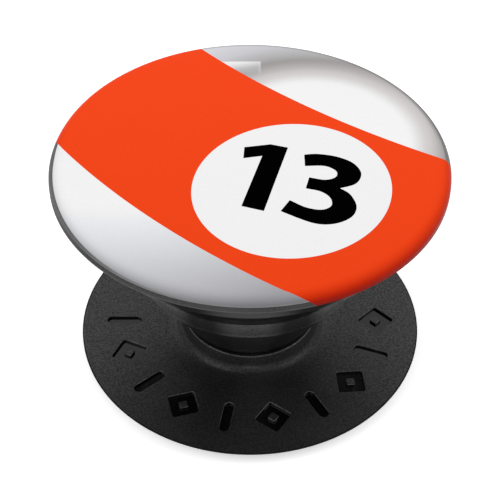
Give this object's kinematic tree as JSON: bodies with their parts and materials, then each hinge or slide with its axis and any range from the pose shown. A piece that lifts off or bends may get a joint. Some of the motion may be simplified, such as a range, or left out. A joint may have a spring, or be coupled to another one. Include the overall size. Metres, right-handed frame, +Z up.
{
  "type": "folding phone grip",
  "caption": "Round stick-on phone grip: a printed disc on a folding cone of bellows over a thin base disc with a short boss and an adhesive pad.",
  "frame": {"origin": "centre of the adhesive pad's sticky face, the lowest face", "axes": "+Z up along the neck's axis; the marked side of the base and the front of the artwork face -Y"},
  "size_m": [0.0398, 0.0398, 0.0258],
  "materials": {
    "pad_gel": "tacky satin gel",
    "base_black": "fine moulded grain",
    "bellows_rubber": "satin thermoplastic rubber",
    "shell_black": "satin",
    "clear_film": "clear adhesive film",
    "printed_gloss": "glossy, printed orange, white and black"
  },
  "bodies": {
    "base": {"adhesive_pad": "pad_gel", "base_platform": "base_black", "base_retainer": "base_black"},
    "neck": {"bellows_foot": "bellows_rubber", "fold_web_1": "bellows_rubber"},
    "ring_1": {"bellows_ring_1": "bellows_rubber", "fold_web_2": "bellows_rubber"},
    "ring_2": {"bellows_ring_2": "bellows_rubber", "fold_web_3": "bellows_rubber"},
    "collar": {"bellows_collar": "bellows_rubber", "bayonet_socket": "base_black"},
    "top": {"twist_hub": "shell_black", "top_shell": "shell_black", "cap_film": "clear_film", "printed_cap": "printed_gloss"}
  },
  "joints": [
    {"name": "swivel", "type": "hinge", "parent": "base", "child": "neck", "pos_m": [0, 0, 0.00115], "axis": [0, 0, 1], "continuous": true},
    {"name": "fold_1", "type": "slide", "parent": "neck", "child": "ring_1", "axis": [0, 0, -1], "range_m": [0, 0.0094], "deforming": ["fold_web_1"]},
    {"name": "fold_2", "type": "slide", "parent": "ring_1", "child": "ring_2", "axis": [0, 0, -1], "range_m": [0, 0.0047], "deforming": ["fold_web_2"]},
    {"name": "fold_3", "type": "slide", "parent": "ring_2", "child": "collar", "axis": [0, 0, -1], "range_m": [0, 0.0037], "deforming": ["fold_web_3"]},
    {"name": "unlock_turn", "type": "hinge", "parent": "collar", "child": "top", "pos_m": [0, 0, 0.0235], "axis": [0, 0, 1], "range_deg": [0, 90]}
  ]
}
